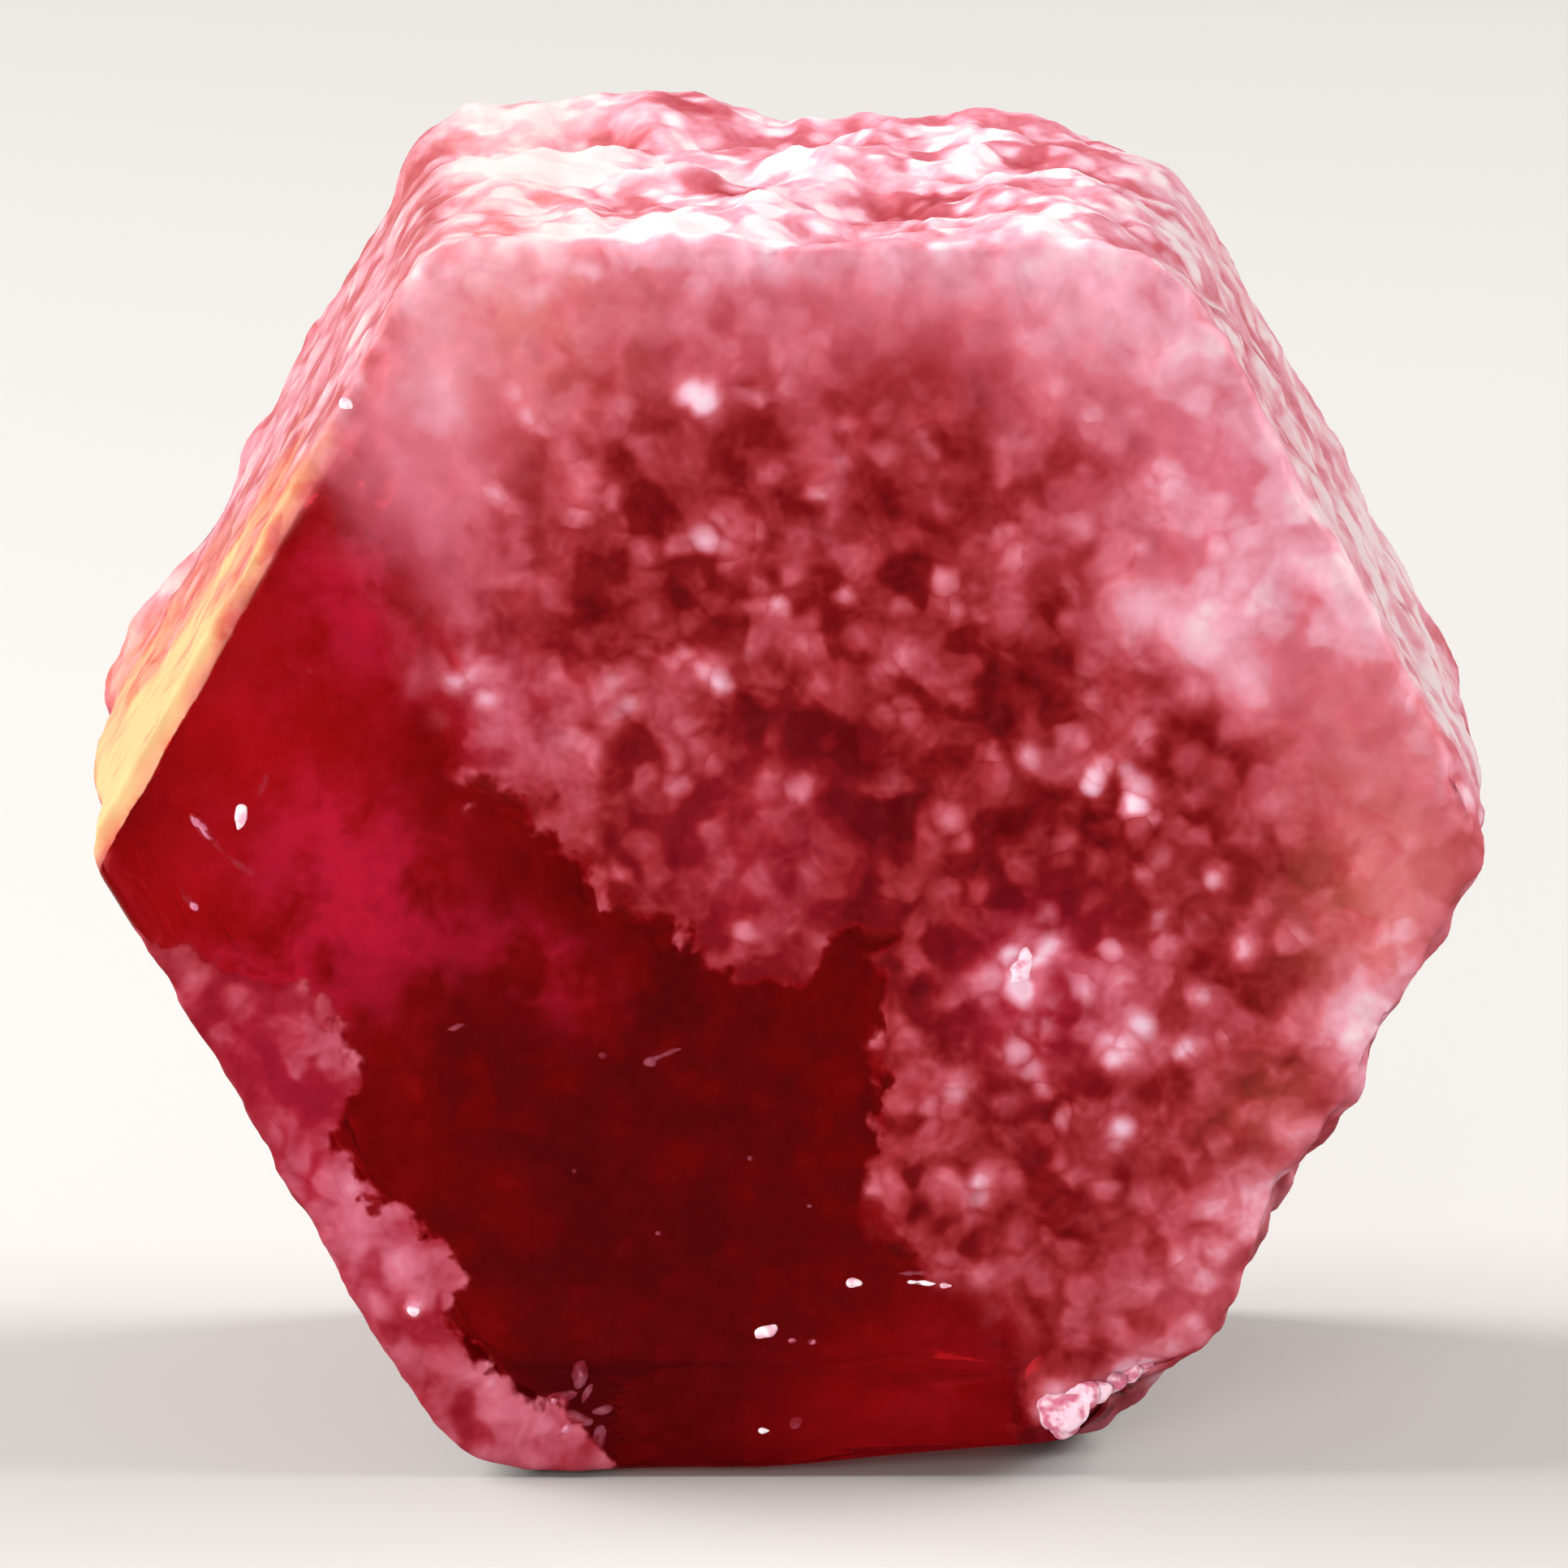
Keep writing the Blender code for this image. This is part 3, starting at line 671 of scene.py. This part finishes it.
def grown(mesh, name, tree, values):
    """The mesh worked by a Geometry Nodes tree with the given input values, as a plain object."""
    draft = bpy.data.objects.new(name + "_draft", mesh)
    bpy.context.scene.collection.objects.link(draft)
    modifier = draft.modifiers.new("nodes", "NODES")
    modifier.node_group = tree
    for item in tree.interface.items_tree:
        if item.in_out == "INPUT" and item.name in values:
            modifier[item.identifier] = values[item.name]
    evaluated = draft.evaluated_get(bpy.context.evaluated_depsgraph_get())
    finished = bpy.data.objects.new(name, bpy.data.meshes.new_from_object(evaluated))
    bpy.data.objects.remove(draft, do_unlink=True)
    bpy.context.scene.collection.objects.link(finished)
    return finished


# ---- flecks: the crumb, the window's painted glints and its inclusions ---

# x, z, depth under the surface, half length, half width, in mm, and tilt in degrees.
CRUMB = (
    (1.93, 0.50, -0.05, 0.19, 0.14, 20), (2.04, 0.58, -0.05, 0.15, 0.11, 30),
    (1.93, 0.38, -0.04, 0.11, 0.09, 0), (1.82, 0.56, -0.03, 0.09, 0.08, 0),
    (2.16, 0.61, -0.04, 0.13, 0.075, 25), (2.27, 0.66, -0.03, 0.13, 0.065, 25),
    (2.38, 0.71, -0.02, 0.12, 0.055, 25), (2.48, 0.75, -0.02, 0.10, 0.040, 25),
    (1.63, 3.66, 0.04, 0.14, 0.11, 80), (1.64, 3.84, 0.03, 0.15, 0.06, 84),
)
# The first five are pale specks that stand for glints off small chips in the window: painted highlights,
# fixed in place. The last three are pale specks and an inclusion.
GLINTS = (
    (-0.19, 1.06, 0.00, 0.090, 0.045, 25), (0.44, 1.41, 0.00, 0.050, 0.025, 0),
    (0.92, 1.41, 0.00, 0.100, 0.020, -3), (1.09, 1.39, 0.00, 0.045, 0.022, 0),
    (-0.20, 0.33, 0.00, 0.045, 0.030, 0), (-3.90, 4.79, 0.00, 0.095, 0.045, 80),
    (-2.69, 1.23, 0.00, 0.050, 0.035, 0), (-3.13, 7.76, 0.02, 0.060, 0.050, 0),
)
# The first four are dim specks that stand for faint glints on the window, painted highlights; the others are
# dim streaks and specks.
FAINT_FLECKS = (
    (0.00, 0.98, 0.01, 0.035, 0.020, 0), (0.13, 0.98, 0.01, 0.030, 0.020, 0),
    (0.86, 1.48, 0.02, 0.120, 0.012, 2), (0.02, 0.38, 0.05, 0.050, 0.030, 40),
    (-4.12, 4.66, 0.02, 0.20, 0.034, -50), (-3.92, 4.46, 0.03, 0.14, 0.036, -35),
    (-4.26, 4.20, 0.02, 0.12, 0.034, -55), (-3.74, 5.02, 0.04, 0.10, 0.030, 70),
    (-3.41, 5.84, 0.10, 0.035, 0.022, 0), (-2.38, 3.26, 0.14, 0.080, 0.020, 15),
    (-0.90, 3.06, 0.10, 0.120, 0.022, 22), (-1.01, 3.01, 0.08, 0.040, 0.030, 0),
    (-1.35, 3.05, 0.12, 0.025, 0.022, 0), (-0.30, 2.30, 0.14, 0.025, 0.020, 0),
    (0.12, 1.95, 0.14, 0.022, 0.020, 0), (-0.95, 1.75, 0.14, 0.022, 0.020, 0),
    (-1.55, 2.20, 0.16, 0.025, 0.022, 0), (-1.51, 0.73, 0.05, 0.110, 0.060, 80),
    (-1.64, 0.56, 0.04, 0.120, 0.045, 20), (-1.53, 0.42, 0.05, 0.110, 0.045, -15),
    (-1.38, 0.27, 0.05, 0.100, 0.045, 65), (-1.36, 0.47, 0.06, 0.080, 0.034, 15),
    (-1.46, 0.59, 0.06, 0.090, 0.034, 65), (-1.60, 0.32, 0.04, 0.110, 0.050, 15),
)
FLECK_PIECES = (  # piece, flecks, and the colours of its darker and paler spots
    ("pale_crumb", CRUMB, (0.62, 0.14, 0.24), (0.95, 0.66, 0.78)),
    # pale_glints are mostly painted highlights: pale specks for the window's glints.
    ("pale_glints", GLINTS, (0.90, 0.45, 0.58), (0.98, 0.85, 0.90)),
    ("faint_flecks", FAINT_FLECKS, (0.40, 0.03, 0.07), (0.62, 0.17, 0.28)),
)
FLECK_RELIEF = 0.09 * MM
FLECK_LUMPS = 0.12 * MM
FLECK_MOTTLE = 0.11 * MM
FLECK_SMOOTHNESS = 3


def fleck_tree():
    """Lumpy flecks on points, each turned and stretched by the point's own values."""
    tree = bpy.data.node_groups.new("flecks", "GeometryNodeTree")
    for name, kind, way in (
        ("Geometry", "NodeSocketGeometry", "INPUT"),
        ("Relief", "NodeSocketFloat", "INPUT"),
        ("Smoothness", "NodeSocketInt", "INPUT"),
        ("Material", "NodeSocketMaterial", "INPUT"),
        ("Geometry", "NodeSocketGeometry", "OUTPUT"),
    ):
        tree.interface.new_socket(name, in_out=way, socket_type=kind)
    graph = Graph(tree)
    given = graph.node("NodeGroupInput").outputs
    inputs = {"Radius": 1.0, "Subdivisions": given["Smoothness"]}
    ball = graph.output("GeometryNodeMeshIcoSphere", None, inputs, output="Mesh")
    size, turn = (
        graph.output("GeometryNodeInputNamedAttribute", {"data_type": "FLOAT_VECTOR"}, {"Name": name})
        for name in ("size", "turn")
    )
    inputs = {"Points": given["Geometry"], "Instance": ball, "Rotation": turn, "Scale": size}
    set_out = graph.output("GeometryNodeInstanceOnPoints", None, inputs)
    real = graph.output("GeometryNodeRealizeInstances", None, {"Geometry": set_out})
    swell = graph.noise_number(graph.output("GeometryNodeInputPosition"), FLECK_LUMPS, detail=1.0) - 0.5
    swell = swell * Number(graph, given["Relief"])
    offset = graph.scaled(graph.output("GeometryNodeInputNormal"), swell)
    lumpy = graph.output("GeometryNodeSetPosition", None, {"Geometry": real, "Offset": offset})
    smooth = graph.output("GeometryNodeSetShadeSmooth", None, {"Geometry": lumpy})
    inputs = {"Geometry": smooth, "Material": given["Material"]}
    graph.node("NodeGroupOutput", None, {"Geometry": graph.output("GeometryNodeSetMaterial", None, inputs)})
    return tree


def fleck_points(crystal, flecks):
    """A point for each fleck, set under the crystal's surface as seen from its basal face."""
    depsgraph = bpy.context.evaluated_depsgraph_get()
    places = []
    for x, z, depth, *_ in flecks:
        start = Vector((x * MM, -2 * THICKNESS, z * MM))
        _, place, _, _ = crystal.ray_cast(start, (0, 1, 0), depsgraph=depsgraph)
        places.append(place + Vector((0, depth * MM, 0)))
    mesh = bpy.data.meshes.new("fleck_points")
    mesh.from_pydata(places, [], [])
    sizes = [(length * MM, 0.6 * width * MM, width * MM) for *_, length, width, _ in flecks]
    turns = [(0, -math.radians(fleck[-1]), 0) for fleck in flecks]
    for name, values in (("size", sizes), ("turn", turns)):
        mesh.attributes.new(name, "FLOAT_VECTOR", "POINT").data.foreach_set("vector", np.ravel(values))
    return mesh


# ---- materials -------------------------------------------------------

CRUST_TONES = (  # from the deep red between the grains to the palest crust
    (0.00, (0.110, 0.0008, 0.0015)),
    (0.16, (0.205, 0.0045, 0.0070)),
    (0.32, (0.350, 0.0260, 0.0350)),
    (0.48, (0.505, 0.0740, 0.1010)),
    (0.64, (0.680, 0.1680, 0.2200)),
    (0.80, (0.880, 0.4250, 0.5450)),
    (1.00, (0.970, 0.8600, 0.9000)),
)
PALEST = 1.25  # the density that has the last tone
# AMBER, ORANGE and RED_GLOW paint the glow of light shining through the upper left face's thin edge.
AMBER = (1.0, 0.74, 0.36, 1)
ORANGE = (0.98, 0.40, 0.26, 1)
RED_GLOW = (0.85, 0.07, 0.05, 1)
LILAC = (0.84, 0.58, 0.74, 1)
MAUVE = (0.52, 0.012, 0.055, 1)
PALE_MAUVE = (0.73, 0.18, 0.30, 1)
RUBY = (0.42, 0.0008, 0.003, 1)
CRIMSON = (0.48, 0.006, 0.030, 1)

BERYL_IOR = 1.57
BERYL_COLOUR = (0.82, 0.015, 0.02, 1)  # what the volume leaves of the light
ABSORPTION = 1000.0  # per metre
CRUST_ROUGHNESS = 0.55
FULLEST_COVER = 0.97  # even the thickest crust leaves a little gloss

BEAD_SIZE = 0.27 * MM
BEAD_REACH = 0.62  # how far a bead reaches from its middle, as a share of its cell
RAGGED_SIZE = 0.35 * MM
FINE_SIZE = 0.07 * MM
HOLLOW_SIZE = 0.42 * MM
# How much each pattern adds to the crust's paleness, and the pattern's middle value.
GRAIN_MOTTLE = (0.25, 0.2)
CLOUD_MOTTLE = (1.2, 0.5)
RAGGED_MOTTLE = (0.30, 0.5)
FINE_MOTTLE = (0.22, 0.5)
BEAD_MIDDLE = 0.19
BEAD_RANGE = (0.35, 0.60)  # hollow pattern over which the beads come out
GAP_DEPTH = 0.38
GAP_RANGE = (0.30, 0.52)  # hollow pattern over which the gaps close
# How far the window's edge strays with the ragged pattern and with the beads, in mm.
EDGE_STRAY = (0.7, 0.10)
BUMP = (0.35, 0.02 * MM)  # strength and height

STORED = (
    "crust", "pale", "calm", "granule", "beady", "amber", "ruby", "crimson", "mauve", "soft", "leak",
    "grain", "cloud",
)


class Pattern:
    """The stored values and the noises that the crust, its colours and the haze all read."""

    def __init__(self, graph):
        self.place = graph.output("ShaderNodeAttribute", {"attribute_name": "place"}, output="Vector")
        for name in STORED:
            value = graph.number("ShaderNodeAttribute", {"attribute_name": name}, output="Fac")
            setattr(self, name, value)
        inputs = {"Vector": self.place, "Scale": 1 / BEAD_SIZE, "Randomness": 1.0}
        cells = graph.node("ShaderNodeTexVoronoi", None, inputs).outputs
        self.bead = 1 - Number(graph, cells["Distance"]).between(0.0, BEAD_REACH)
        self.tone = graph.number("ShaderNodeSeparateXYZ", None, {"Vector": cells["Color"]}, output="Y")
        self.ragged = graph.noise_number(self.place, RAGGED_SIZE, detail=3.0, roughness=0.6)
        self.fine = graph.noise_number(self.place, FINE_SIZE, detail=0.0)
        self.hollow = graph.noise_number(self.place, HOLLOW_SIZE, detail=1.0)


def crust_cover(at):
    """How much of the surface is crust: one on it, nothing on the window, and ragged or soft between."""
    stray = (at.ragged - 0.5) * EDGE_STRAY[0] + (at.bead - 0.5) * EDGE_STRAY[1]
    edge = at.crust + stray * (1 - at.soft) * (1 - at.amber).held()
    return (edge / (at.soft * 0.5 + 0.05)).between(-1.0, 1.0)


def crust_density(at):
    """How pale the crust is: its areas, mottled by grains, clouds and beads and broken by deep red gaps."""
    gaps = 1 - (at.hollow + (at.bead - 0.5) * 0.16).between(*GAP_RANGE)
    mottle = (at.grain - GRAIN_MOTTLE[1]) * GRAIN_MOTTLE[0] + (at.cloud - CLOUD_MOTTLE[1]) * CLOUD_MOTTLE[0]
    mottle = mottle + (at.ragged - RAGGED_MOTTLE[1]) * RAGGED_MOTTLE[0]
    mottle = mottle + (at.fine - FINE_MOTTLE[1]) * FINE_MOTTLE[0]
    beads = (at.bead * (at.tone + 0.25) - BEAD_MIDDLE) * at.beady
    mottle = mottle + beads * (at.hollow.between(*BEAD_RANGE) * 0.7 + 0.3) - gaps * GAP_DEPTH
    density = at.pale + at.granule * (at.bead * 0.6 - 0.3) + mottle * (1 - at.calm)
    return density.held(0.0, PALEST)


def crust_colour(graph, at):
    """The crust's colour: its tones, lilac on the palest beads, partly a painted highlight, mauve areas and
    the painted amber glow.
    """
    density = crust_density(at)
    ramp = graph.node("ShaderNodeValToRGB", None, {"Fac": density / PALEST})
    stops = ramp.color_ramp.elements
    for position, _ in CRUST_TONES[1:-1]:
        stops.new(position)
    for stop, (position, colour) in zip(stops, CRUST_TONES):
        stop.position = position
        stop.color = (*colour, 1)
    # Lilac on the palest beads and granules is partly their own tint and partly a painted highlight on them.
    lilac = (at.granule * 2 - 0.2).held(0.0, 0.8) + at.tone.between(0.55, 0.95) * at.beady * 0.18
    lilac = at.bead * density.between(0.30, 0.65) * lilac
    colour = graph.mixed(lilac, ramp.outputs["Color"], LILAC)
    mauve = graph.mixed(density.between(0.25, 0.75), MAUVE, PALE_MAUVE)
    colour = graph.mixed((at.mauve * 0.8).held(), colour, mauve)
    # The upper left face's amber, orange and red streaks: a painted glow of light shining through its thin
    # edge.
    glow = graph.mixed((0.52 - at.ragged).between(0.0, 0.12) * 0.6, ORANGE, RED_GLOW)
    glow = graph.mixed(at.amber.between(0.30, 0.85), glow, AMBER)
    return graph.mixed(at.amber.between(0.0, 0.5), colour, glow)


def clear_beryl(graph):
    inputs = {
        "Base Color": (1, 0.8, 0.82, 1),
        "Roughness": 0.03,
        "IOR": BERYL_IOR,
        "Transmission Weight": 1.0,
        "Specular Tint": (1, 0.04, 0.05, 1),
    }
    return graph.output("ShaderNodeBsdfPrincipled", {"distribution": "GGX"}, inputs)


def frosted_beryl(graph, at, colour):
    """Rough crust that lets a share of the light through."""
    inputs = {"Strength": BUMP[0], "Distance": BUMP[1], "Height": at.fine}
    inputs = {
        "Base Color": colour,
        "Roughness": CRUST_ROUGHNESS,
        "IOR": BERYL_IOR,
        "Specular IOR Level": 0.1,
        "Specular Tint": (1, 0.3, 0.35, 1),
        "Normal": graph.output("ShaderNodeBump", None, inputs),
    }
    rough = graph.output("ShaderNodeBsdfPrincipled", {"distribution": "GGX"}, inputs)
    through = graph.output("ShaderNodeBsdfTranslucent", None, {"Color": colour})
    return graph.output("ShaderNodeMixShader", None, {"Fac": at.leak, 1: rough, 2: through})


def beryl_material():
    """Clear beryl in the window, crust over the rest, and a coloured haze over parts of the window."""
    material = bpy.data.materials.new("red_beryl")
    material.use_nodes = True
    material.node_tree.nodes.clear()
    graph = Graph(material.node_tree)
    at = Pattern(graph)
    cover = crust_cover(at)
    wisps = at.crimson * (at.cloud * 0.5 + at.ragged * 0.5).between(0.38, 0.62)
    haze = graph.mixed((wisps * 3).held(), RUBY, CRIMSON)
    frosted = frosted_beryl(graph, at, graph.mixed(cover, haze, crust_colour(graph, at)))
    share = cover.math("MAXIMUM", cover, (at.ruby + wisps).held())
    inputs = {"Fac": share * FULLEST_COVER, 1: clear_beryl(graph), 2: frosted}
    surface = graph.output("ShaderNodeMixShader", None, inputs)
    inputs = {"Color": BERYL_COLOUR, "Density": ABSORPTION}
    volume = graph.output("ShaderNodeVolumeAbsorption", None, inputs)
    graph.node("ShaderNodeOutputMaterial", None, {"Surface": surface, "Volume": volume})
    return material


def plain_material(name, colour, roughness):
    material = bpy.data.materials.new(name)
    material.use_nodes = True
    shader = material.node_tree.nodes["Principled BSDF"]
    shader.inputs["Base Color"].default_value = (*colour, 1)
    shader.inputs["Roughness"].default_value = roughness
    return material


def mottled_material(name, dark, pale):
    """A fleck's material, darker and paler in spots."""
    material = plain_material(name, pale, 0.4)
    graph = Graph(material.node_tree)
    place = graph.output("ShaderNodeTexCoord", output="Object")
    mottle = graph.noise_number(place, FLECK_MOTTLE).between(0.35, 0.60)
    colour = graph.mixed(mottle, (*dark, 1), (*pale, 1))
    graph.fill(material.node_tree.nodes["Principled BSDF"].inputs["Base Color"], colour)
    return material


# ---- stage, light and camera -----------------------------------------

LIGHTS = (  # name, place and side in metres, power in watts, colour
    ("left", (-0.105, 0.015, 0.075), 0.08, 0.27, (1, 0.97, 0.93)),
    ("right", (0.105, 0.015, 0.075), 0.08, 0.21, (1, 0.97, 0.94)),
    ("fill", (-0.040, -0.140, 0.035), 0.06, 0.14, (1, 0.98, 0.97)),
)
AMBIENT = ((1, 0.99, 0.98, 1), 0.25)  # colour and strength of the light from all round
BOUNCES = {"max": 3, "transmission": 3, "diffuse": 1, "glossy": 1}
FLOOR_DROP = 0.01 * MM
FLOOR_COLOUR = (0.54, 0.535, 0.53)
FLAT_RADIUS = 350 * MM
RIM_RADIUS = 250 * MM
RIM_STEPS = 12
FRAME_SIDE = 1932  # the picture's side, in pixels
PIXELS_PER_MM = 174.6
CAMERA_HEIGHT_ANGLE = math.radians(12.7)
CAMERA_DISTANCE = 150 * MM
AIM = Vector((-0.06 * MM, -THICKNESS / 2, 5.04 * MM))


def make_floor():
    """A pale dish, flat under the crystal, whose rim rises all round, far off."""
    profile = [(0.0, 0.0), (FLAT_RADIUS, 0.0)]
    for step in range(1, RIM_STEPS + 1):
        turn = math.pi / 2 * step / RIM_STEPS
        profile.append((FLAT_RADIUS + RIM_RADIUS * math.sin(turn), RIM_RADIUS * (1 - math.cos(turn))))
    dish = bmesh.new()
    line = [dish.verts.new((radius, 0, height - FLOOR_DROP)) for radius, height in profile]
    edges = [dish.edges.new(pair) for pair in zip(line, line[1:])]
    bmesh.ops.spin(
        dish, geom=line + edges, axis=(0, 0, 1), angle=2 * math.pi, steps=RIM_STEPS * 8, use_merge=True
    )
    bmesh.ops.remove_doubles(dish, verts=dish.verts, dist=TOUCHING)
    mesh = bpy.data.meshes.new("floor")
    dish.to_mesh(mesh)
    dish.free()
    mesh.shade_smooth()
    mesh.materials.append(plain_material("pale_floor", FLOOR_COLOUR, 0.8))
    floor = bpy.data.objects.new("floor", mesh)
    bpy.context.scene.collection.objects.link(floor)


def area_light(name, place, aim, side, power, colour):
    light = bpy.data.lights.new(name, "AREA")
    light.shape = "RECTANGLE"
    light.size, light.size_y = side, side
    light.energy = power
    light.color = colour
    lamp = bpy.data.objects.new(name, light)
    lamp.location = place
    lamp.rotation_euler = (Vector(aim) - Vector(place)).to_track_quat("-Z", "Y").to_euler()
    lamp.visible_camera = False
    bpy.context.scene.collection.objects.link(lamp)


def make_lights():
    world = bpy.data.worlds.new("studio")
    world.use_nodes = True
    background = world.node_tree.nodes["Background"].inputs
    background["Color"].default_value, background["Strength"].default_value = AMBIENT
    bpy.context.scene.world = world
    middle = (0, 0, CENTRE_HEIGHT)
    for name, place, side, power, colour in LIGHTS:
        area_light(name, place, middle, side, power, colour)


def make_camera():
    camera = bpy.data.cameras.new("camera")
    camera.sensor_width = 36
    camera.lens = camera.sensor_width * CAMERA_DISTANCE / (FRAME_SIDE / PIXELS_PER_MM * MM)
    camera.clip_start = 10 * MM
    camera.clip_end = 2
    view = bpy.data.objects.new("camera", camera)
    back = Vector((0, -math.cos(CAMERA_HEIGHT_ANGLE), math.sin(CAMERA_HEIGHT_ANGLE)))
    view.location = AIM + back * CAMERA_DISTANCE
    view.rotation_euler = (-back).to_track_quat("-Z", "Y").to_euler()
    bpy.context.scene.collection.objects.link(view)
    bpy.context.scene.camera = view
    bpy.context.scene.view_settings.view_transform = "Standard"
    for kind, bounces in BOUNCES.items():
        setattr(bpy.context.scene.cycles, kind + "_bounces", bounces)


def main():
    values = {
        "Grain Height": GRAIN_HEIGHT,
        "Coarse Grain": GRAIN_SIZES[0],
        "Fine Grain": GRAIN_SIZES[1],
        "Seed": GRAIN_SEED,
        "Material": beryl_material(),
    }
    crystal = grown(body_mesh(), "beryl_crystal", relief_tree(), values)
    tree = fleck_tree()
    for name, flecks, dark, pale in FLECK_PIECES:
        material = mottled_material(name, dark, pale)
        values = {"Relief": FLECK_RELIEF, "Smoothness": FLECK_SMOOTHNESS, "Material": material}
        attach(grown(fleck_points(crystal, flecks), name, tree, values), "root")
    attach(crystal, "root")
    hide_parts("crystal")
    make_floor()
    make_lights()
    make_camera()


main()
